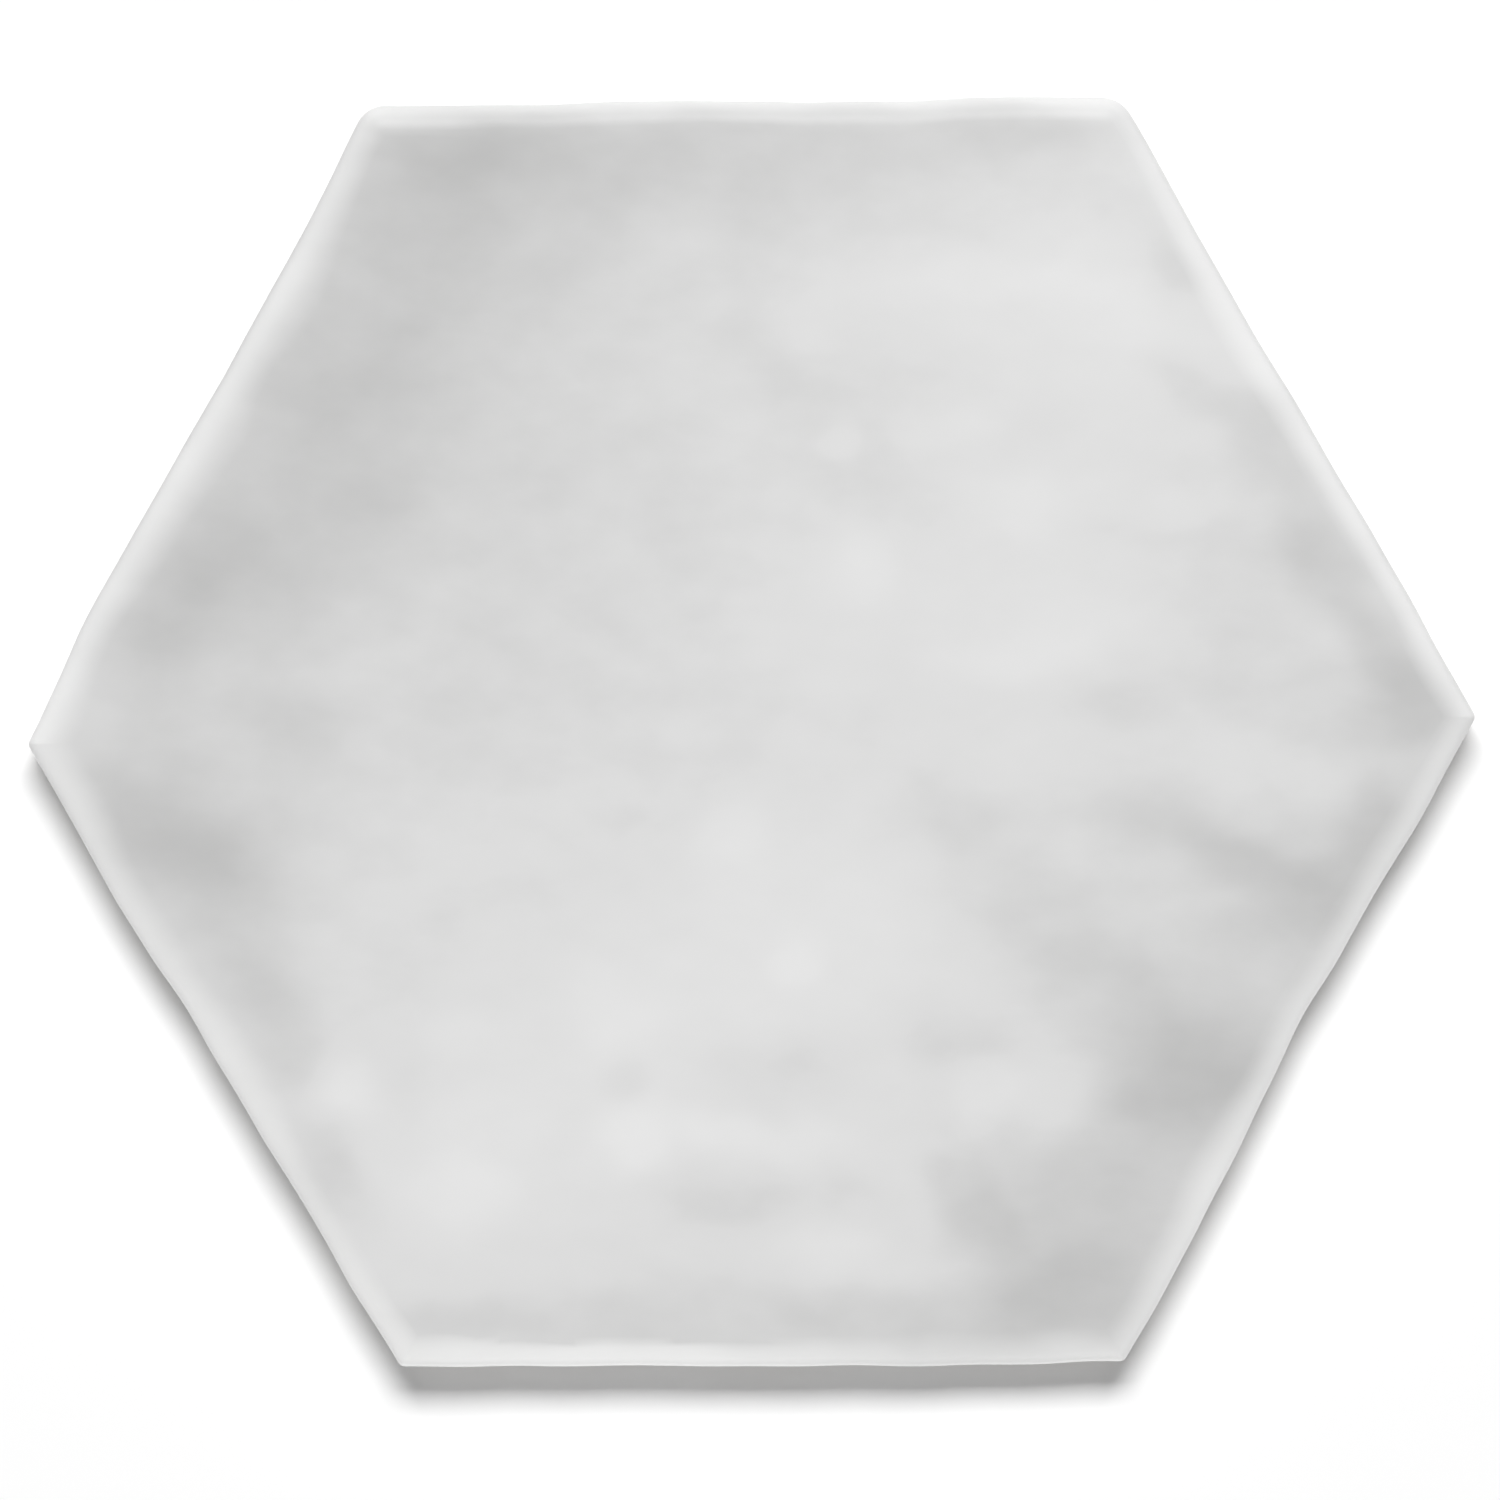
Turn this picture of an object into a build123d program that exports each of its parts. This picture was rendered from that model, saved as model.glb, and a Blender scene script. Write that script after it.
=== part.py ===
from build123d import *

# Hexagon wall tile, pressed from clay and fired in one piece, with a hand-made look.
# It lies on its back, glazed face up. +X runs from corner to corner and +Y from side to side.
# The outline wanders a little from the true hexagon, the sides and the face are wavy, the face
# rolls over into the sides at a rounded arris, the lower sides are drawn in, and the back has
# shallow grooves that key it to its adhesive bed. Lengths are millimetres.
import os
from math import cos, exp, radians, sin, tan
from typing import NamedTuple

# Driving sizes
ACROSS_FLATS = 150.0  # between opposite sides of the true hexagon
THICKNESS = 9.0  # from the back to the middle level of the face
ARRIS_RADIUS = 2.8  # rounding between the face and the sides
ARRIS_LAP = 0.05  # how far outside the sides that rounding would end, so they meet at a faint line
CORNER_RADIUS = 1.0  # rounding in plan of the sharpest corners
CORNER_WANDER = 2.5  # farthest that a corner stands from its true place, along X or Y
SIDE_WANDER = 0.9  # farthest that a side leaves the straight line between its corners
FACE_RELIEF = 0.6  # height of the strongest swell or hollow of the face
BACK_INSET = 0.8  # how far the back's outline lies inside the face's
TAPER_HEIGHT = 4.0  # height over which the lower sides are drawn in
KEY_DEPTH = 0.8  # depth of the grooves in the back
KEY_BORDER = 9.0  # plain border round the grooves
GROOVE_WIDTH = 6.5  # width of one groove at its mouth
GROOVE_SLOPE = 30.0  # lean of the grooves' sides, in degrees
GROOVE_PITCH = 11.0  # from one groove to the next
RELIEF_STEP = 8.0  # spacing of the points that the face's surface goes through

# The face's relief is laid out on the tile, so its places are shares of this length.
HALF_WIDTH = ACROSS_FLATS / 2


class Corner(NamedTuple):
    """A corner of the tile: where it stands and how round it is."""

    angle: float  # direction of the true corner, in degrees from +X
    shift_x: float  # share of CORNER_WANDER
    shift_y: float  # share of CORNER_WANDER
    rounding: float  # multiple of CORNER_RADIUS


class Swell(NamedTuple):
    """An oval swell of the face with soft sides, or a hollow where its rise is negative."""

    x: float  # centre, in half widths
    y: float
    length: float  # reach along its own axis, in half widths
    width: float  # reach across its own axis, in half widths
    turn: float  # direction of its axis, in degrees from +X
    rise: float  # share of FACE_RELIEF


CORNERS = [
    Corner(0, -0.2, 0.7, 1.0),
    Corner(60, 0.2, 0.2, 4.0),
    Corner(120, -1.0, -0.2, 3.8),
    Corner(180, 0.2, -0.6, 1.0),
    Corner(240, 0.6, -0.2, 1.0),
    Corner(300, 0.4, 0.0, 1.0),
]

# Departures of each side from straight, outward, as shares of SIDE_WANDER at even steps along it.
# The first side runs from the corner at 0 degrees to the corner at 60 degrees.
SIDE_WAVES = [
    (0.1, 0.2, 0.1, 0.0, -0.2, -0.2, -0.1),
    (0.2, -0.2, -0.3, 0.0, 0.2, 0.0, -0.2),
    (-0.2, -0.3, 0.0, 0.3, 0.6, 0.9, 0.8),
    (0.4, 0.7, 0.3, 0.1, 0.2, 0.0, 0.2),
    (0.0, 0.1, 0.2, 0.3, 0.3, 0.4, 0.3),
    (0.2, 0.0, -0.3, -1.0, -0.7, -0.2, 0.1),
]

SWELLS = [
    Swell(-0.66, 0.60, 0.42, 0.22, 60, -0.8),
    Swell(-0.88, -0.05, 0.32, 0.18, 90, -0.9),
    Swell(0.88, -0.18, 0.30, 0.20, -35, -0.9),
    Swell(0.64, -0.52, 0.26, 0.20, 20, -0.8),
    Swell(0.50, -0.86, 0.26, 0.20, 45, -0.7),
    Swell(0.20, 0.93, 0.45, 0.16, 0, -0.4),
    Swell(0.50, 0.66, 0.34, 0.22, -15, 0.8),
    Swell(0.42, 0.20, 0.28, 0.18, 15, 0.6),
    Swell(0.08, -0.34, 0.36, 0.18, 15, 0.9),
    Swell(-0.46, -0.66, 0.26, 0.20, 40, 0.8),
    Swell(0.06, -0.68, 0.34, 0.18, 0, 0.6),
]


def corner_point(corner):
    """Where a corner of the outline would be if it were sharp."""
    reach = HALF_WIDTH / cos(radians(30))
    return Vector(
        reach * cos(radians(corner.angle)) + corner.shift_x * CORNER_WANDER,
        reach * sin(radians(corner.angle)) + corner.shift_y * CORNER_WANDER,
    )


def outline(over=0.0):
    """The tile's outline: six wavy sides that meet at six corners.

    Corners with a radius over the given one are rounded, and the others are left sharp.
    """
    points = [corner_point(corner) for corner in CORNERS]
    radii = [corner.rounding * CORNER_RADIUS for corner in CORNERS]
    radii = [radius if radius > over else 0.0 for radius in radii]
    count = len(points)
    along = [(points[(i + 1) % count] - points[i]).normalized() for i in range(count)]
    setbacks = [radii[i] * tan(radians(along[i - 1].get_angle(along[i]) / 2)) for i in range(count)]
    starts = [points[i] + along[i] * setbacks[i] for i in range(count)]
    ends = [points[i] - along[i - 1] * setbacks[i] for i in range(count)]
    edges = []
    for i, waves in enumerate(SIDE_WAVES):
        after = (i + 1) % count
        start, end = starts[i], ends[after]
        outward = Vector(along[i].Y, -along[i].X)
        steps = len(waves) + 1
        through = [
            start + (end - start) * ((k + 1) / steps) + outward * (wave * SIDE_WANDER)
            for k, wave in enumerate(waves)
        ]
        edges.append(Spline(start, *through, end, tangents=(along[i], along[i])))
        if radii[after] > 0:
            edges.append(TangentArc(end, starts[after], tangent=along[i]))
    return make_face(edges)


def face_height(x, y):
    """Height of the face over the back at a point of the plan."""
    relief = 0.0
    for swell in SWELLS:
        across, up = x / HALF_WIDTH - swell.x, y / HALF_WIDTH - swell.y
        turn = radians(swell.turn)
        u = (across * cos(turn) + up * sin(turn)) / swell.length
        v = (up * cos(turn) - across * sin(turn)) / swell.width
        relief += swell.rise * exp(-(u * u + v * v))
    return THICKNESS + FACE_RELIEF * relief


def above_the_face(plan):
    """The space over the wavy face."""
    box = plan.bounding_box()
    low_x, low_y = box.min.X - RELIEF_STEP, box.min.Y - RELIEF_STEP
    columns = round((box.size.X + 2 * RELIEF_STEP) / RELIEF_STEP) + 1
    rows = round((box.size.Y + 2 * RELIEF_STEP) / RELIEF_STEP) + 1
    grid = []
    for i in range(columns):
        x = low_x + i * RELIEF_STEP
        ys = [low_y + j * RELIEF_STEP for j in range(rows)]
        grid.append([(x, y, face_height(x, y)) for y in ys])
    face = Face.make_surface_from_array_of_points(grid, min_deg=3, max_deg=5)
    return extrude(face, amount=2 * THICKNESS, dir=(0, 0, 1))


def key_grooves():
    """The grooves of the back: bands with sloping sides, as many on each side of a middle land."""
    reach = HALF_WIDTH - KEY_BORDER
    field = RegularPolygon(reach, side_count=6, major_radius=False)
    land = GROOVE_PITCH - GROOVE_WIDTH
    count = 2 * int((reach + land / 2) / GROOVE_PITCH)
    places = GridLocations(0, GROOVE_PITCH, 1, count)
    bands = [field & place * Rectangle(ACROSS_FLATS, GROOVE_WIDTH) for place in places]
    return [extrude(band, amount=KEY_DEPTH, taper=GROOVE_SLOPE) for band in bands]


def pressed_blank():
    """The tile's sides: upright above, and drawn in toward the back below."""
    plan = outline()
    back = scale(plan, by=(1 - BACK_INSET / HALF_WIDTH))
    lower = loft([back, Pos(0, 0, TAPER_HEIGHT) * plan], ruled=True)
    return lower + Pos(0, 0, TAPER_HEIGHT) * extrude(plan, amount=2 * THICKNESS)


def faced_block():
    """The wavy face and its arris, on a block whose sides stand a little outside the tile's own.

    The arris runs round the corners that are rounder than it, and meets in a mitre at the others.
    """
    plan = scale(outline(over=ARRIS_RADIUS), by=(1 + ARRIS_LAP / HALF_WIDTH))
    block = extrude(plan, amount=2 * THICKNESS) - above_the_face(plan)
    face = block.faces().sort_by(Axis.Z)[-1]
    return fillet(face.edges(), ARRIS_RADIUS)


def tile():
    """The whole tile, with the middle of its box over the origin and its back on Z = 0."""
    body = (pressed_blank() & faced_block()) - key_grooves()
    middle = body.bounding_box().center()
    return Pos(-middle.X, -middle.Y, 0) * body


os.makedirs("parts", exist_ok=True)
export_step(tile(), "parts/hexagon_tile.step")
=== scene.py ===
from math import cos, pi, radians, sin
from typing import NamedTuple

import bmesh
import bpy
import numpy as np
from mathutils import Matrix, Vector, noise
from mathutils.bvhtree import BVHTree


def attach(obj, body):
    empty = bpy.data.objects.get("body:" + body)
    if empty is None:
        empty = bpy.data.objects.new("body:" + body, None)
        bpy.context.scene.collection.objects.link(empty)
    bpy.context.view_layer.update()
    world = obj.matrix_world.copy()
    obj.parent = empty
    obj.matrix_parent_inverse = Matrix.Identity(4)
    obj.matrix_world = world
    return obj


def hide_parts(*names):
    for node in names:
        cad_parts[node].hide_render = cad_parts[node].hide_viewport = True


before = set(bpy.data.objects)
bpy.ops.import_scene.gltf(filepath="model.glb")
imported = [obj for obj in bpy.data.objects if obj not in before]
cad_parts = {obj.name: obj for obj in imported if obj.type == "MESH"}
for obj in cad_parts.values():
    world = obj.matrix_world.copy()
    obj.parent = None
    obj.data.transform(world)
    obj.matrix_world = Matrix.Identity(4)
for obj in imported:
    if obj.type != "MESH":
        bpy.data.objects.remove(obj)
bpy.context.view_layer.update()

MM = 0.001
TILE_NODE = "hexagon_tile"

# Sizes of the tile that its solid was made with
HALF_WIDTH = 75.0 * MM  # half of the distance between opposite sides
ARRIS = 2.8 * MM  # rounding between the face and the sides
TAPER_HEIGHT = 4.0 * MM  # height over which the lower sides are drawn in
KEY_DEPTH = 0.8 * MM  # depth of the grooves in the back

# How finely the tile is meshed
SIDES = 6
POINTS_PER_SIDE = 160
CORNER_CROWDING = 0.8  # how much closer together the points are at the corners
CORNER_SEARCH = 20.0  # degrees either side of a true corner in which the tile's own is looked for
CORNER_STEP = 0.05  # degrees between the places where it is looked for
FACE_RINGS = 70
RING_CROWDING = 1.4  # how much closer together the rings are near the outline
ARRIS_RINGS = 12
SIDE_RINGS = 4
GLAZED_SHARES = (0.5, 0.9, 1.0)  # rings down the drawn-in sides, as shares of the way to the glaze's end
BARE_SHARES = (0.02, 0.1, 0.5, 1.0)  # rings below, as shares of the way from there to the foot
STEP_SHARE = 0.1  # share of that way over which the glaze's thickness is lost
FOOT_TURNS = (30.0, 60.0, 90.0)  # degrees round the rounding of the foot
SIDE_HEIGHT = 5.0 * MM  # height at which the outline of the sides is read from the solid
BACK_HEIGHT = 0.4 * MM  # height at which the outline of the back is read
RAY_START = 1.5  # how far out the solid is looked at from, in its own reach
RELIEF_GRID = 5.0 * MM  # spacing of the face's heights that are read from the solid
GRID_LOW = -1.25 * HALF_WIDTH  # where their grid starts, along X and along Y
FACE_MARGIN = 1.6 * ARRIS  # border of the face where none are read
OUTLINE_BLUR = 2  # points either side that smooth away the solid's facets
NEARBY = 36  # points either side that an inset outline keeps its distance from
INSET_STEPS = 6
TINY = 0.01 * MM
SHARP_TURN = 40.0  # degrees between two faces, over which the edge between them is crisp

# Fine relief that the kiln left
ARRIS_LEAD = 1.0 * MM  # how far inside the solid's arris the face starts to fall toward it
ARRIS_EASE = 0.77  # under 1, that fall starts more gently than a round arris would
ARRIS_WAVE = 0.5 * MM  # how far the arris widens and narrows
ARRIS_WAVE_LENGTH = 9.0 * MM
SIDE_WAVE = 0.25 * MM  # small waves that the sides have on top of the solid's broad ones
SIDE_WAVE_LENGTH = 9.0 * MM
RIPPLE_HEIGHT = 0.05 * MM
RIPPLE_LENGTH = 14.0 * MM
GLAZE_THICKNESS = 0.12 * MM
GLAZE_END = 2.3 * MM  # height at which the glaze ends on the sides
GLAZE_END_WAVE = 0.7 * MM
GLAZE_END_LENGTH = 16.0 * MM
FOOT_RADIUS = 0.4 * MM  # rounding between the sides and the back
BACK_BAND = 0.6 * MM  # flat band of the back next to that rounding

# Seeds of the smooth noise that each unevenness is made with
ARRIS_SEED = 1
RIPPLE_SEED = 2
GLAZE_END_SEED = 3
EDGE_SEED = 4
SIDE_SEED = 7
NOISE_STEP = (17.3, 5.1, 2.7)  # how far the noise of one seed lies from that of the next

# Places of the two materials on the tile
GLAZE_INDEX = 0
CLAY_INDEX = 1


class Band(NamedTuple):
    """A ring of the tile's surface."""

    points: np.ndarray
    break_and_highlight: np.ndarray  # how far the glaze breaks to white, partly a real break and partly painted highlight, less a painted shade line at the outline; from 0 on the face to 1 at the outline
    glazed: bool


class Cloud(NamedTuple):
    """A soft oval patch of the face that is paler, or greyer where its tone is negative."""

    x: float  # centre, in half widths
    y: float
    length: float  # reach along its own axis, in half widths
    width: float  # reach across its own axis, in half widths
    turn: float  # direction of its axis, in degrees from +X
    tone: float


class Edge(NamedTuple):
    """How the glaze breaks to white toward the outline at one place round the tile: partly a real break,
    partly painted highlight, with a painted shade line at the outline.
    """

    turn: float  # direction from the middle, in degrees from +X
    reach: float  # how far in from the outline the whitening starts
    white: float  # how far it breaks to white at the outline, partly a real glaze break and partly painted highlight
    bend: float  # over 1, most of the change is near the outline
    rim_shade: float  # share of its white taken off again right at the outline: a painted shade line there


# Per place round the tile: the glaze's white break, partly painted highlight that is strongest along the
# lower sides, and a painted shade line at the outline, mostly on the upper sides
EDGES = [
    Edge(15, 3.4 * MM, 0.70, 0.9, 1.0),
    Edge(45, 3.8 * MM, 0.55, 0.8, 1.0),
    Edge(75, 2.2 * MM, 0.35, 1.1, 0.0),
    Edge(105, 2.2 * MM, 0.35, 1.1, 0.0),
    Edge(135, 5.6 * MM, 0.70, 1.1, 1.0),
    Edge(165, 5.0 * MM, 0.65, 1.1, 0.9),
    Edge(195, 5.0 * MM, 0.90, 1.4, 0.2),
    Edge(225, 4.2 * MM, 0.75, 1.4, 0.2),
    Edge(250, 2.9 * MM, 0.95, 0.35, 0.0),
    Edge(265, 2.7 * MM, 0.95, 0.35, 0.0),
    Edge(285, 4.0 * MM, 0.60, 1.2, 0.0),
    Edge(315, 5.0 * MM, 1.00, 1.4, 0.0),
    Edge(330, 3.4 * MM, 0.90, 1.4, 0.0),
    Edge(345, 3.6 * MM, 0.90, 1.3, 0.0),
]
EDGE_WAVE = 0.4  # share by which their reach comes and goes
EDGE_WAVE_LENGTH = 14.0 * MM
RIM_SHADE_REACH = 0.5 * MM  # how far in from the outline the painted shade line reaches
SIDE_GATHER = 0.7  # share of the white that is lost down the sides

CLOUDS = [
    Cloud(-0.42, 0.52, 0.60, 0.45, 70, -0.27),
    Cloud(-0.45, 0.84, 0.26, 0.22, 60, -0.24),
    Cloud(-0.50, 0.91, 0.12, 0.09, 0, -0.32),
    Cloud(-0.68, 0.38, 0.22, 0.16, 50, -0.30),
    Cloud(-0.28, 0.90, 0.22, 0.08, -5, -0.22),
    Cloud(0.10, 0.90, 0.50, 0.12, 0, -0.24),
    Cloud(0.42, 0.95, 0.16, 0.05, 0, -0.35),
    Cloud(-0.02, 0.975, 0.60, 0.018, 1, -0.18),
    Cloud(-0.92, 0.21, 0.13, 0.10, 40, -0.45),
    Cloud(-0.75, 0.01, 0.09, 0.05, 0, -0.20),
    Cloud(-0.87, -0.03, 0.14, 0.10, 90, 0.24),
    Cloud(1.05, 0.05, 0.09, 0.08, 0, -0.72),
    Cloud(0.99, 0.14, 0.08, 0.05, -60, -0.50),
    Cloud(0.91, 0.28, 0.10, 0.06, -50, -0.50),
    Cloud(0.81, 0.46, 0.10, 0.07, -60, -0.60),
    Cloud(0.69, 0.55, 0.08, 0.04, -15, -0.40),
    Cloud(0.66, 0.74, 0.08, 0.05, -60, -0.50),
    Cloud(0.77, 0.25, 0.13, 0.10, 0, -0.20),
    Cloud(0.45, 0.48, 0.40, 0.36, 0, -0.18),
    Cloud(0.18, 0.26, 0.06, 0.06, 0, 0.45),
    Cloud(0.46, 0.14, 0.15, 0.05, 10, 0.45),
    Cloud(0.42, 0.37, 0.09, 0.05, -10, 0.40),
    Cloud(0.66, 0.35, 0.07, 0.04, 0, 0.25),
    Cloud(0.14, 0.46, 0.04, 0.03, 40, 0.30),
    Cloud(0.06, 0.56, 0.06, 0.05, -30, -0.15),
    Cloud(0.00, 0.63, 0.07, 0.03, 0, -0.15),
    Cloud(0.60, 0.04, 0.06, 0.04, 0, -0.18),
    Cloud(0.32, 0.48, 0.08, 0.04, 0, 0.35),
    Cloud(0.36, 0.71, 0.20, 0.04, 0, 0.35),
    Cloud(0.58, 0.65, 0.12, 0.08, -20, 0.30),
    Cloud(-0.92, -0.17, 0.15, 0.08, -30, -0.50),
    Cloud(-0.80, -0.32, 0.12, 0.09, -60, -0.25),
    Cloud(-0.75, -0.48, 0.12, 0.07, -60, -0.38),
    Cloud(-0.66, -0.72, 0.10, 0.06, -50, -0.60),
    Cloud(-0.64, -0.57, 0.06, 0.05, 0, 0.80),
    Cloud(-0.53, -0.55, 0.03, 0.06, 0, -0.12),
    Cloud(-0.46, -0.48, 0.06, 0.04, 0, 0.30),
    Cloud(-0.45, -0.72, 0.08, 0.07, 0, 0.50),
    Cloud(-0.22, -0.43, 0.08, 0.07, 0, 0.35),
    Cloud(-0.21, -0.56, 0.04, 0.03, 0, -0.45),
    Cloud(-0.23, -0.12, 0.05, 0.03, 0, -0.18),
    Cloud(-0.52, -0.50, 0.14, 0.10, 0, -0.15),
    Cloud(-0.20, -0.65, 0.07, 0.06, 0, 0.70),
    Cloud(-0.07, -0.74, 0.12, 0.06, 0, -0.55),
    Cloud(0.10, -0.72, 0.09, 0.04, 0, -0.30),
    Cloud(-0.06, -0.63, 0.08, 0.03, 0, 0.40),
    Cloud(-0.15, -0.92, 0.35, 0.06, 0, -0.32),
    Cloud(-0.50, -0.94, 0.16, 0.06, 0, -0.30),
    Cloud(-0.03, -0.17, 0.07, 0.05, 0, 0.35),
    Cloud(0.90, -0.27, 0.09, 0.08, 0, -0.35),
    Cloud(0.74, -0.19, 0.17, 0.035, -18, -0.30),
    Cloud(0.97, -0.15, 0.08, 0.06, 60, -0.55),
    Cloud(0.80, -0.06, 0.16, 0.09, -15, 0.50),
    Cloud(0.71, -0.54, 0.14, 0.09, 25, -0.60),
    Cloud(0.60, -0.41, 0.12, 0.05, -35, -0.22),
    Cloud(0.39, -0.25, 0.18, 0.11, -35, -0.46),
    Cloud(0.24, -0.14, 0.16, 0.06, 0, -0.18),
    Cloud(0.06, -0.54, 0.12, 0.07, 0, -0.55),
    Cloud(0.07, -0.36, 0.05, 0.04, 0, 0.40),
    Cloud(0.29, -0.69, 0.04, 0.04, 0, -0.30),
    Cloud(0.30, -0.48, 0.08, 0.05, 0, -0.30),
    Cloud(0.36, -0.76, 0.08, 0.06, -60, -0.45),
    Cloud(0.37, -0.57, 0.05, 0.05, 0, 0.45),
    Cloud(0.06, -0.65, 0.10, 0.04, 0, 0.30),
    Cloud(0.47, -0.56, 0.08, 0.08, 0, 0.45),
    Cloud(0.53, -0.77, 0.14, 0.10, 0, -0.26),
    Cloud(0.55, -0.10, 0.10, 0.08, 0, -0.18),
    Cloud(0.50, -0.89, 0.13, 0.06, 10, -0.50),
    Cloud(0.15, -0.83, 0.16, 0.04, -8, 0.35),
    Cloud(0.22, -0.94, 0.26, 0.06, 0, -0.24),
]
CLOUD_EDGE = 1.5  # over 1, their edges are crisper
# How their outlines stray: how far, the length of the waves, and the seed
CLOUD_SWAYS = [(2.0 * MM, 12.0 * MM, 5), (0.9 * MM, 5.0 * MM, 8)]
FULL_TONE = 0.9 * MM  # rise of the face that makes the glaze paler by a whole tone

# Glaze and clay colours, as linear light
GLAZE_GREY = (0.415, 0.415, 0.413)
GLAZE_MIDDLE = (0.670, 0.670, 0.669)
GLAZE_PALE = (0.782, 0.782, 0.781)
TONE_SPAN = 1.5  # tones of the greyest and the palest of these, either side of the middle one
# white of the glaze's break over the arris, also the colour of its painted highlight there
GLAZE_BREAK_AND_HIGHLIGHT = (0.900, 0.900, 0.895)
CLAY_CREAM = (0.600, 0.588, 0.566)
CLAY_BUFF = (0.500, 0.484, 0.458)
MOTTLE = 0.45  # share of the glaze's tone that comes from broad patches
FLECKS = 0.6  # share that comes from small patches
MOTTLE_TURN = 15.0  # degrees by which the patches' noise is turned out of line with the tile
MOTTLE_STRETCH = (0.75, 1.15, 1.0)  # along X, Y and Z; under 1, they are longer that way
MIDDLE = 0.5  # middle of the patches' range, and of the glaze's colours
PIT_FLOOR = 0.04  # where the floor of a pit ends, as a share of the space between pits
PIT_RIM = 0.16  # where its sides end

# Sheen and fine relief
GLAZE_ROUGHNESS = (0.40, 0.48)
GLAZE_SPECULAR = 0.25
GLAZE_BUMP = 0.02 * MM
CLAY_ROUGHNESS = 0.92
CLAY_SPECULAR = 0.3
CLAY_BUMP = 0.15 * MM

# The photograph looks straight down on the tile, with the tile's +Y up.
FRAME_WIDTH = 178.5 * MM  # what the frame covers at the height of the outline
FRAME_CENTRE = (-0.24 * MM, -2.2 * MM)
OUTLINE_HEIGHT = 6.0 * MM
LENS = 200.0  # millimetres
SENSOR = 36.0

# Light
SKY_LEVEL = 0.21
KEY_LEVEL = 90.0  # watts, from a wide high panel
KEY_TURN = 90.0  # degrees from +X
KEY_HEIGHT = 57.5  # degrees over the floor
KEY_DISTANCE = 3.0
KEY_SIZE = (1.6, 1.0)
FILL_LEVEL = 22.0  # watts, from a wide low panel
FILL_TURN = -90.0
FILL_HEIGHT = 5.0
FILL_DISTANCE = 1.6
FILL_SIZE = (4.0, 0.24)
FLOOR_SIZE = 6.0
FLOOR_GAP = 0.02 * MM
FLOOR_WHITE = (0.97, 0.97, 0.97)


def drift(points, length, seed):
    """Smooth noise from about -1 to 1 over an array of points, with waves of about that length."""
    spot = Vector([step * seed for step in NOISE_STEP])
    return np.array([noise.noise(Vector(p) / length + spot) for p in points])


def spline_weights(t):
    """Weights of four neighbours in a cubic B-spline, at a share of the step from second to third."""
    return [
        (1 - t) ** 3 / 6,
        (3 * t**3 - 6 * t**2 + 4) / 6,
        (-3 * t**3 + 3 * t**2 + 3 * t + 1) / 6,
        t**3 / 6,
    ]


class Solid:
    """The tile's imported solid, asked for its outline and for the height of its face."""

    def __init__(self, node):
        mesh = node.data
        corners = [v.co.copy() for v in mesh.vertices]
        self.tree = BVHTree.FromPolygons(corners, [p.vertices[:] for p in mesh.polygons])
        self.reach = max(c.length for c in corners) * RAY_START
        self.turns = self.spread_turns()
        self.side = self.outline(SIDE_HEIGHT)
        self.back = self.outline(BACK_HEIGHT)
        wave = SIDE_WAVE * drift(ring(self.side, 0.0), SIDE_WAVE_LENGTH, SIDE_SEED)
        shift = self.ways() * wave[:, None]
        self.side -= shift
        self.back -= shift
        self.heights = self.face_heights()

    def lengths(self, turns, height):
        """Distances from the middle to the solid's sides at a height, one for each turn."""
        found = []
        for turn in turns:
            way = Vector((cos(turn), sin(turn), 0.0))
            start = way * self.reach + Vector((0.0, 0.0, height))
            found.append(self.tree.ray_cast(start, -way)[0].xy.length)
        return np.array(found)

    def spread_turns(self):
        """Turns round the middle, closer together at the corners of the outline."""
        search = np.radians(np.arange(-CORNER_SEARCH, CORNER_SEARCH, CORNER_STEP))
        corners = []
        for k in range(SIDES + 1):
            about = 2 * pi * k / SIDES + search
            corners.append(about[np.argmax(self.lengths(about, SIDE_HEIGHT))])
        even = np.arange(POINTS_PER_SIDE) / POINTS_PER_SIDE
        shares = even - CORNER_CROWDING * np.sin(2 * pi * even) / (2 * pi)
        return np.concatenate([a + (b - a) * shares for a, b in zip(corners, corners[1:])])

    def outline(self, height):
        """Points of the solid's outline at a height, one for each turn round the middle."""
        lengths = self.lengths(self.turns, height)
        for _ in range(OUTLINE_BLUR):
            lengths = (np.roll(lengths, 1) + 2 * lengths + np.roll(lengths, -1)) / 4
        return self.ways() * lengths[:, None]

    def ways(self):
        """Directions of the turns round the middle."""
        return np.column_stack((np.cos(self.turns), np.sin(self.turns)))

    def drawn_in(self, height):
        """The outline of the drawn-in lower sides at a height, which may differ from point to point."""
        return self.back + (self.side - self.back) * (height / TAPER_HEIGHT)[:, None]

    def face_heights(self):
        """Heights of the face on a square grid. Past the face's edge they repeat those at the edge."""
        count = int(round(-2 * GRID_LOW / RELIEF_GRID)) + 1
        side_lengths = np.linalg.norm(self.side, axis=1)
        down = Vector((0.0, 0.0, -1.0))
        grid = np.zeros((count, count))
        for i in range(count):
            for j in range(count):
                x = GRID_LOW + i * RELIEF_GRID
                y = GRID_LOW + j * RELIEF_GRID
                edge = np.interp(np.arctan2(y, x), self.turns, side_lengths, period=2 * pi)
                pull = min(1.0, (edge - FACE_MARGIN) / max(np.hypot(x, y), TINY))
                start = Vector((x * pull, y * pull, self.reach))
                grid[i, j] = self.tree.ray_cast(start, down)[0].z
        return grid

    def height(self, points):
        """Height of the face at points of the plan, by a cubic B-spline over the grid."""
        total = np.zeros(len(points))
        place = (np.asarray(points)[:, :2] - GRID_LOW) / RELIEF_GRID
        cell = np.clip(np.floor(place).astype(int), 1, len(self.heights) - 3)
        across, up = [spline_weights(share) for share in (place - cell).T]
        for i, weight_x in enumerate(across, -1):
            for j, weight_y in enumerate(up, -1):
                total += weight_x * weight_y * self.heights[cell[:, 0] + i, cell[:, 1] + j]
        return total


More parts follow.
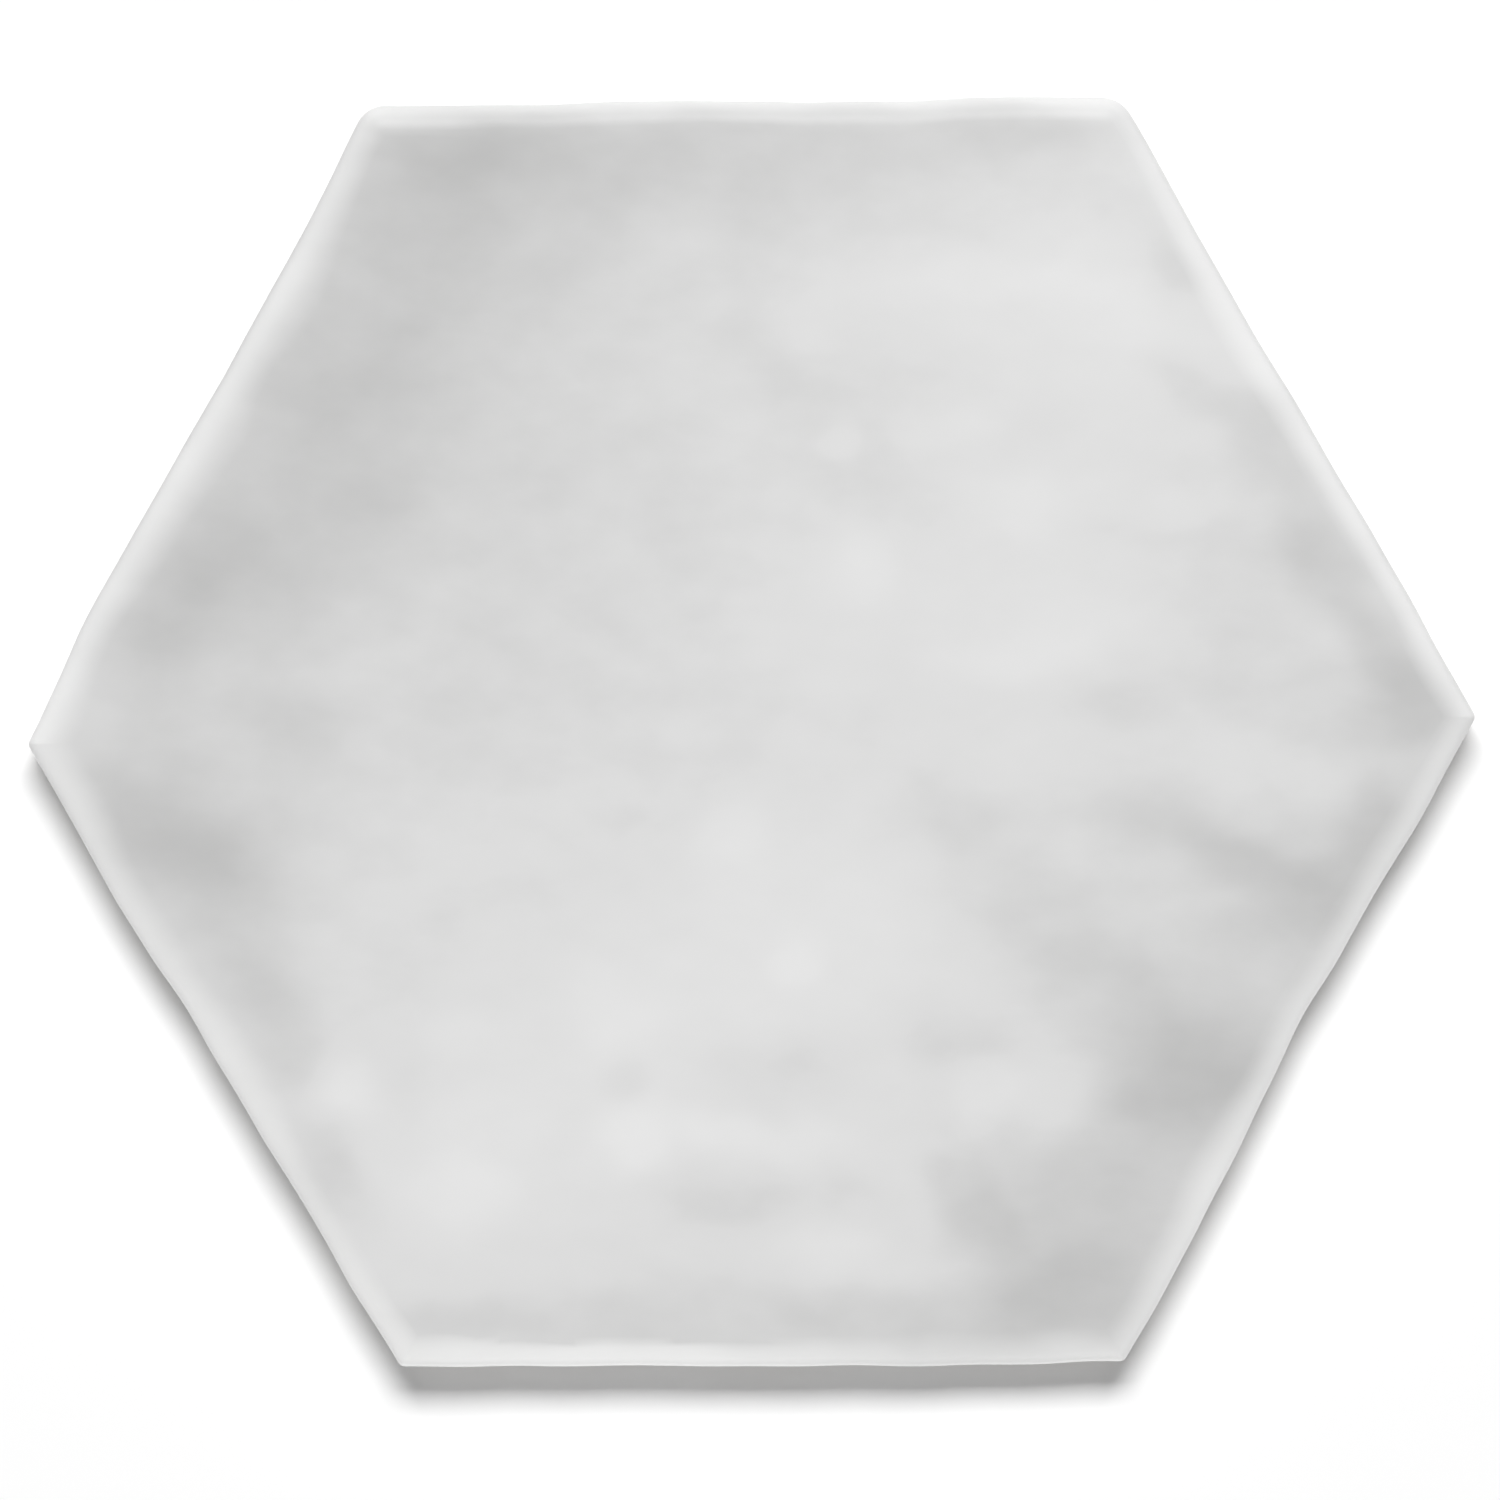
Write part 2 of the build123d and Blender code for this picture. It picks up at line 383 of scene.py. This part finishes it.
def inset(outline, distance):
    """The outline moved inward by a distance, which may differ from point to point.

    Each point stays on its line to the middle, so the inset outline is mitred at sharp corners.
    """
    count = len(outline)
    near = (np.arange(count)[:, None] + np.arange(-NEARBY, NEARBY)) % count
    start = outline[near]
    along = outline[(near + 1) % count] - start
    squared = (along**2).sum(axis=2)
    reach = np.linalg.norm(outline, axis=1)
    moved = np.broadcast_to(distance, count)
    for _ in range(INSET_STEPS):
        offset = (outline * (1 - moved / reach)[:, None])[:, None, :] - start
        share = np.clip((offset * along).sum(axis=2) / squared, 0.0, 1.0)
        gap = np.linalg.norm(offset - along * share[:, :, None], axis=2).min(axis=1)
        moved = moved + distance - gap
    return outline * (1 - moved / reach)[:, None]


def ring(plan, height):
    """A closed ring of points at a height, which may differ from point to point."""
    return np.column_stack((plan, np.broadcast_to(height, len(plan))))


def cloud_tone(points):
    """Tone of the glaze from its listed clouds."""
    flat = points * (1.0, 1.0, 0.0)
    x, y = flat[:, 0].copy(), flat[:, 1].copy()
    for reach, length, seed in CLOUD_SWAYS:
        x += reach * drift(flat, length, seed)
        y += reach * drift(flat, length, seed + 1)
    x /= HALF_WIDTH
    y /= HALF_WIDTH
    total = np.zeros(len(points))
    for cloud in CLOUDS:
        turn = radians(cloud.turn)
        u = ((x - cloud.x) * cos(turn) + (y - cloud.y) * sin(turn)) / cloud.length
        v = ((y - cloud.y) * cos(turn) - (x - cloud.x) * sin(turn)) / cloud.width
        total += cloud.tone * np.exp(-((u * u + v * v) ** CLOUD_EDGE))
    return total


def break_and_highlight_mask(solid):
    """How far the glaze breaks to white at a distance in from the outline, at each turn round the
    middle: partly a real break, partly painted highlight, less a painted shade line right at the
    outline.
    """
    turns, *columns = zip(*EDGES)
    around = np.degrees(solid.turns)
    reach, white, bend, rim_shade = [np.interp(around, turns, column, period=360) for column in columns]
    reach *= 1 + EDGE_WAVE * drift(ring(solid.side, 0.0), EDGE_WAVE_LENGTH, EDGE_SEED)

    def at(away):
        # painted shade: the white falls off again right at the outline
        rim_shaded = rim_shade * np.exp(-away / RIM_SHADE_REACH)
        return white * np.clip(1 - away / reach, 0.0, 1.0) ** bend * (1 - rim_shaded)

    return at


def face_rings(solid, break_and_highlight):
    """Rings of the face from its middle outward, and on over the arris to the sides."""
    wave = drift(ring(solid.side, 0.0), ARRIS_WAVE_LENGTH, ARRIS_SEED)
    width = ARRIS + ARRIS_LEAD + ARRIS_WAVE * wave
    inner = inset(solid.side, width)
    made = []
    for k in range(1, FACE_RINGS + 1):
        out = 1 - (1 - k / FACE_RINGS) ** RING_CROWDING
        plan = inner * out
        ripple = RIPPLE_HEIGHT * drift(ring(plan, 0.0), RIPPLE_LENGTH, RIPPLE_SEED)
        away = width + (1 - out) * (HALF_WIDTH - width)
        made.append(Band(ring(plan, solid.height(plan) + ripple), break_and_highlight(away), True))
    edge = made[-1].points[:, 2]
    for k in range(1, ARRIS_RINGS + 1):
        turn = k / ARRIS_RINGS * pi / 2
        away = width * (1 - sin(turn) ** ARRIS_EASE)
        points = ring(inset(solid.side, away), edge - ARRIS * (1 - cos(turn)))
        made.append(Band(points, break_and_highlight(away), True))
    return made


def side_rings(solid, break_and_highlight, shoulder):
    """Rings of the sides from under the arris to the glaze's end, and on down the bare clay."""
    bare = np.zeros(len(solid.turns))
    made = []
    for k in range(1, SIDE_RINGS + 1):
        share = k / SIDE_RINGS
        points = ring(solid.side, shoulder + (TAPER_HEIGHT - shoulder) * share)
        made.append(Band(points, break_and_highlight(0.0) * (1 - SIDE_GATHER * share), True))
    wave = drift(ring(solid.side, 0.0), GLAZE_END_LENGTH, GLAZE_END_SEED)
    glaze_end = GLAZE_END + GLAZE_END_WAVE * wave
    for share in GLAZED_SHARES:
        height = TAPER_HEIGHT + (glaze_end - TAPER_HEIGHT) * share
        points = ring(solid.drawn_in(height), height)
        made.append(Band(points, break_and_highlight(0.0) * (1 - SIDE_GATHER), True))
    for share in BARE_SHARES:
        height = glaze_end + (FOOT_RADIUS - glaze_end) * share
        depth = GLAZE_THICKNESS * min(1.0, share / STEP_SHARE)
        made.append(Band(ring(inset(solid.drawn_in(height), depth), height), bare, False))
    return made


def foot_rings(solid):
    """Rings round the rounding of the foot, and one on the flat of the back."""
    bare = np.zeros(len(solid.turns))
    foot = inset(solid.back, GLAZE_THICKNESS)
    made = []
    for turn in FOOT_TURNS:
        inward = FOOT_RADIUS * (1 - cos(radians(turn)))
        height = FOOT_RADIUS * (1 - sin(radians(turn)))
        made.append(Band(ring(inset(foot, inward), height), bare, False))
    made.append(Band(ring(inset(foot, FOOT_RADIUS + BACK_BAND), 0.0), bare, False))
    return made


def add_back(bm, last_ring, node):
    """Closes the back: the grooves come from the solid, and flat faces fill the land around them."""
    faces_before = len(bm.faces)
    grooves = []
    for polygon in node.data.polygons:
        corners = [node.data.vertices[i].co for i in polygon.vertices]
        if TINY < max(co.z for co in corners) < KEY_DEPTH + TINY:
            made = [bm.verts.new(co) for co in corners]
            bm.faces.new(made)
            grooves += made
    bmesh.ops.remove_doubles(bm, verts=grooves, dist=TINY)
    bm.faces.ensure_lookup_table()
    mouths = [e for f in bm.faces[faces_before:] for e in f.edges if e.is_boundary]
    around = dict.fromkeys(e for v in last_ring for e in v.link_edges)
    border = [e for e in around if e.is_boundary]
    bmesh.ops.triangle_fill(bm, edges=mouths + border, use_beauty=True)
    bm.faces.ensure_lookup_table()
    for face in bm.faces[faces_before:]:
        face.material_index = CLAY_INDEX


def add_object(name, data):
    """A new object in the scene."""
    made = bpy.data.objects.new(name, data)
    bpy.context.scene.collection.objects.link(made)
    return made


def make_tile(solid, node):
    """The tile's mesh, with its glaze's tone and its break to white, with painted highlight and painted
    rim shade, kept at each point.
    """
    break_and_highlight = break_and_highlight_mask(solid)
    bands = face_rings(solid, break_and_highlight)
    bands += side_rings(solid, break_and_highlight, bands[-1].points[:, 2])
    bands += foot_rings(solid)
    around = len(solid.turns)
    middle = np.zeros((1, 3))
    middle[:, 2] = solid.height(middle) + RIPPLE_HEIGHT * drift(middle, RIPPLE_LENGTH, RIPPLE_SEED)
    points = np.vstack([middle] + [band.points for band in bands])
    break_and_highlight_values = np.concatenate([[0.0]] + [band.break_and_highlight for band in bands])
    bm = bmesh.new()
    verts = [bm.verts.new(p) for p in points]
    loops = [verts[1 + k * around:1 + (k + 1) * around] for k in range(len(bands))]
    for i in range(around):
        bm.faces.new((verts[0], loops[0][i], loops[0][(i + 1) % around]))
    for k in range(len(bands) - 1):
        for i in range(around):
            j = (i + 1) % around
            face = bm.faces.new((loops[k][i], loops[k + 1][i], loops[k + 1][j], loops[k][j]))
            face.material_index = GLAZE_INDEX if bands[k + 1].glazed else CLAY_INDEX
    add_back(bm, loops[-1], node)
    bmesh.ops.recalc_face_normals(bm, faces=bm.faces)
    mesh = bpy.data.meshes.new("glazed_tile")
    bm.to_mesh(mesh)
    bm.free()
    mesh.shade_smooth()
    mesh.set_sharp_from_angle(angle=radians(SHARP_TURN))
    level = np.median(points[:FACE_RINGS * around, 2])
    tone = (solid.height(points) - level) / FULL_TONE + cloud_tone(points)
    for name, values in (("tone", tone), ("break_and_highlight", break_and_highlight_values)):
        kept = np.zeros(len(mesh.vertices), dtype=np.float32)
        kept[:len(points)] = values
        mesh.attributes.new(name, "FLOAT", "POINT").data.foreach_set("value", kept)
    return add_object("glazed_tile", mesh)


def set_inputs(node, values):
    """Sets inputs of a node by name. An underscore in a name stands for a space."""
    for name, value in values.items():
        node.inputs[name.replace("_", " ")].default_value = value


def add_node(tree, kind, **values):
    """A new node with some of its inputs set by name."""
    made = tree.nodes.new(kind)
    set_inputs(made, values)
    return made


def add_math(tree, operation, *values):
    """A math node whose values are numbers or sockets."""
    made = tree.nodes.new("ShaderNodeMath")
    made.operation = operation
    for socket, value in zip(made.inputs, values):
        if isinstance(value, float):
            socket.default_value = value
        else:
            tree.links.new(value, socket)
    return made


def new_group(name, inputs, outputs):
    """An empty shader node group with number sockets. Inputs come with their usual values."""
    group = bpy.data.node_groups.new(name, "ShaderNodeTree")
    for socket, value in inputs.items():
        made = group.interface.new_socket(socket, in_out="INPUT", socket_type="NodeSocketFloat")
        made.default_value = value
    for socket in outputs:
        group.interface.new_socket(socket, in_out="OUTPUT", socket_type="NodeSocketFloat")
    return group, group.nodes.new("NodeGroupInput"), group.nodes.new("NodeGroupOutput")


def kiln_mottle():
    """Uneven patches that firing leaves in glaze and clay, from 0 to 1 about a middle of 0.5."""
    inputs = {"Patches per metre": 90.0, "Strength": 1.0}
    group, given, out = new_group("kiln_mottle", inputs, ["Mottle"])
    link = group.links.new
    coords = group.nodes.new("ShaderNodeTexCoord")
    turn = (0.0, 0.0, radians(MOTTLE_TURN))
    drawn = add_node(group, "ShaderNodeMapping", Rotation=turn, Scale=MOTTLE_STRETCH)
    link(coords.outputs["Object"], drawn.inputs["Vector"])
    cloudy = add_node(group, "ShaderNodeTexNoise", Detail=3.0, Roughness=0.5)
    link(drawn.outputs["Vector"], cloudy.inputs["Vector"])
    link(given.outputs["Patches per metre"], cloudy.inputs["Scale"])
    centred = add_math(group, "SUBTRACT", cloudy.outputs["Fac"], MIDDLE)
    scaled = add_math(group, "MULTIPLY_ADD", centred.outputs[0], given.outputs["Strength"], MIDDLE)
    scaled.use_clamp = True
    link(scaled.outputs[0], out.inputs["Mottle"])
    return group


def fine_skin():
    """Fine unevenness of a fired surface: a soft grain and small pits, as a height from 0 to 1."""
    inputs = {"Grains per metre": 900.0, "Pits per metre": 300.0, "Pit depth": 0.5}
    group, given, out = new_group("fine_skin", inputs, ["Height", "Pits"])
    link = group.links.new
    coords = group.nodes.new("ShaderNodeTexCoord")
    grain = add_node(group, "ShaderNodeTexNoise", Detail=2.0, Roughness=0.5)
    link(coords.outputs["Object"], grain.inputs["Vector"])
    link(given.outputs["Grains per metre"], grain.inputs["Scale"])
    cells = add_node(group, "ShaderNodeTexVoronoi", Randomness=1.0)
    link(coords.outputs["Object"], cells.inputs["Vector"])
    link(given.outputs["Pits per metre"], cells.inputs["Scale"])
    ends = {"From_Min": PIT_FLOOR, "From_Max": PIT_RIM, "To_Min": 1.0, "To_Max": 0.0}
    pit = add_node(group, "ShaderNodeMapRange", **ends)
    pit.interpolation_type = "SMOOTHSTEP"
    link(cells.outputs["Distance"], pit.inputs["Value"])
    lowered = add_math(group, "MULTIPLY", pit.outputs["Result"], given.outputs["Pit depth"])
    height = add_math(group, "SUBTRACT", grain.outputs["Fac"], lowered.outputs[0])
    link(height.outputs[0], out.inputs["Height"])
    link(pit.outputs["Result"], out.inputs["Pits"])
    return group


def place_group(tree, group, **values):
    """A node group placed in a material, with some of its inputs set by name."""
    placed = tree.nodes.new("ShaderNodeGroup")
    placed.node_tree = group
    set_inputs(placed, values)
    return placed


def new_material(name):
    """A material, with its nodes and its Principled shader."""
    material = bpy.data.materials.new(name)
    material.use_nodes = True
    return material, material.node_tree, material.node_tree.nodes["Principled BSDF"]


def mix_colours(tree, share, first, second):
    """A colour between two colours or colour sockets, by a share socket."""
    mix = tree.nodes.new("ShaderNodeMix")
    mix.data_type = "RGBA"
    tree.links.new(share, mix.inputs["Factor"])
    for name, colour in (("A", first), ("B", second)):
        socket = next(s for s in mix.inputs if s.name == name and s.type == "RGBA")
        if isinstance(colour, tuple):
            socket.default_value = (*colour, 1.0)
        else:
            tree.links.new(colour, socket)
    return next(s for s in mix.outputs if s.type == "RGBA")


def add_bump(tree, shader, height, depth):
    """Fine relief of a surface by its normals, from a height socket."""
    bump = add_node(tree, "ShaderNodeBump", Strength=1.0, Distance=depth)
    tree.links.new(height, bump.inputs["Height"])
    tree.links.new(bump.outputs["Normal"], shader.inputs["Normal"])


def attribute(tree, name):
    """A number kept at the mesh's points."""
    read = tree.nodes.new("ShaderNodeAttribute")
    read.attribute_name = name
    return read.outputs["Fac"]


def glaze_material(mottle, skin):
    """Pale glaze with a soft sheen: greyer where it pools in low parts of the face, paler or greyer in
    soft patches, white where it breaks over the arris, partly painted highlight, and a painted shade
    line at the outline.
    """
    material, tree, shader = new_material("pale_grey_glaze")
    link = tree.links.new
    patches = place_group(tree, mottle, Patches_per_metre=60.0, Strength=1.0)
    flecks = place_group(tree, mottle, Patches_per_metre=150.0, Strength=1.0)
    tone = attribute(tree, "tone")
    for placed, share in ((patches, MOTTLE), (flecks, FLECKS)):
        tone = add_math(tree, "MULTIPLY_ADD", placed.outputs["Mottle"], share, tone).outputs[0]
    plain = (MOTTLE + FLECKS) * MIDDLE
    ends = {"From_Min": plain - TONE_SPAN, "From_Max": plain + TONE_SPAN}
    spread = add_node(tree, "ShaderNodeMapRange", **ends)
    link(tone, spread.inputs["Value"])
    ramp = tree.nodes.new("ShaderNodeValToRGB")
    ramp.color_ramp.interpolation = "LINEAR"
    ramp.color_ramp.elements[0].color = (*GLAZE_GREY, 1.0)
    ramp.color_ramp.elements[1].color = (*GLAZE_PALE, 1.0)
    ramp.color_ramp.elements.new(MIDDLE).color = (*GLAZE_MIDDLE, 1.0)
    link(spread.outputs["Result"], ramp.inputs["Fac"])
    # white break over the arris with painted highlight, and painted shade right at the outline
    colour = mix_colours(tree, attribute(tree, "break_and_highlight"), ramp.outputs["Color"], GLAZE_BREAK_AND_HIGHLIGHT)
    link(colour, shader.inputs["Base Color"])
    sheen = add_node(tree, "ShaderNodeMapRange", To_Min=GLAZE_ROUGHNESS[0], To_Max=GLAZE_ROUGHNESS[1])
    link(patches.outputs["Mottle"], sheen.inputs["Value"])
    link(sheen.outputs["Result"], shader.inputs["Roughness"])
    surface = place_group(tree, skin, Grains_per_metre=260.0, Pits_per_metre=120.0, Pit_depth=0.2)
    add_bump(tree, shader, surface.outputs["Height"], GLAZE_BUMP)
    shader.inputs["Specular IOR Level"].default_value = GLAZE_SPECULAR
    return material


def clay_material(mottle, skin):
    """Bare fired clay: cream, matt and grainy, with small open pits that are painted darker as shade."""
    material, tree, shader = new_material("bare_cream_clay")
    patches = place_group(tree, mottle, Patches_per_metre=140.0, Strength=1.8)
    surface = place_group(tree, skin, Grains_per_metre=1800.0, Pits_per_metre=420.0, Pit_depth=1.0)
    clay = mix_colours(tree, patches.outputs["Mottle"], CLAY_CREAM, CLAY_BUFF)
    # painted shade: the pits take the darker buff colour
    clay_with_shaded_pits = mix_colours(tree, surface.outputs["Pits"], clay, CLAY_BUFF)
    tree.links.new(clay_with_shaded_pits, shader.inputs["Base Color"])
    add_bump(tree, shader, surface.outputs["Height"], CLAY_BUMP)
    shader.inputs["Roughness"].default_value = CLAY_ROUGHNESS
    shader.inputs["Specular IOR Level"].default_value = CLAY_SPECULAR
    return material


def make_floor():
    """A plain white floor that keeps the tile's shadow."""
    mesh = bpy.data.meshes.new("floor")
    half = FLOOR_SIZE / 2
    corners = [(-half, -half), (half, -half), (half, half), (-half, half)]
    mesh.from_pydata([(x, y, -FLOOR_GAP) for x, y in corners], [], [(0, 1, 2, 3)])
    floor = add_object("floor", mesh)
    material, _, shader = new_material("white_floor")
    shader.inputs["Base Color"].default_value = (*FLOOR_WHITE, 1.0)
    shader.inputs["Roughness"].default_value = 1.0
    shader.inputs["Specular IOR Level"].default_value = 0.0
    mesh.materials.append(material)


def add_panel(name, turn, height, distance, size, level):
    """A soft light panel that faces the tile, placed by two angles in degrees and a distance."""
    data = bpy.data.lights.new(name, "AREA")
    data.shape = "RECTANGLE"
    data.size = size[0]
    data.size_y = size[1]
    data.energy = level
    flat = cos(radians(height))
    way = Vector((flat * cos(radians(turn)), flat * sin(radians(turn)), sin(radians(height))))
    panel = add_object(name, data)
    panel.location = way * distance
    panel.rotation_euler = (-way).to_track_quat("-Z", "Y").to_euler()


def make_light():
    """A soft white sky all round, a wide key panel behind the tile and a low fill panel before it."""
    world = bpy.data.worlds.new("studio")
    bpy.context.scene.world = world
    world.use_nodes = True
    tree = world.node_tree
    path = tree.nodes.new("ShaderNodeLightPath")
    seen = path.outputs["Is Camera Ray"]
    for name in ("Is Glossy Ray", "Is Transmission Ray"):
        seen = add_math(tree, "MAXIMUM", seen, path.outputs[name]).outputs[0]
    level = add_node(tree, "ShaderNodeMapRange", To_Min=SKY_LEVEL, To_Max=1.0)
    tree.links.new(seen, level.inputs["Value"])
    background = tree.nodes["Background"]
    background.inputs["Color"].default_value = (1.0, 1.0, 1.0, 1.0)
    tree.links.new(level.outputs["Result"], background.inputs["Strength"])
    add_panel("key", KEY_TURN, KEY_HEIGHT, KEY_DISTANCE, KEY_SIZE, KEY_LEVEL)
    add_panel("fill", FILL_TURN, FILL_HEIGHT, FILL_DISTANCE, FILL_SIZE, FILL_LEVEL)


def make_camera():
    """A long lens straight over the tile."""
    data = bpy.data.cameras.new("camera")
    data.lens = LENS
    data.sensor_width = SENSOR
    camera = add_object("camera", data)
    camera.location = (*FRAME_CENTRE, OUTLINE_HEIGHT + FRAME_WIDTH * LENS / SENSOR)
    bpy.context.scene.camera = camera


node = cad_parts[TILE_NODE]
tile = make_tile(Solid(node), node)
mottle = kiln_mottle()
skin = fine_skin()
tile.data.materials.append(glaze_material(mottle, skin))
tile.data.materials.append(clay_material(mottle, skin))
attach(tile, "root")
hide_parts(TILE_NODE)
make_floor()
make_light()
make_camera()
bpy.context.scene.view_settings.view_transform = "Standard"
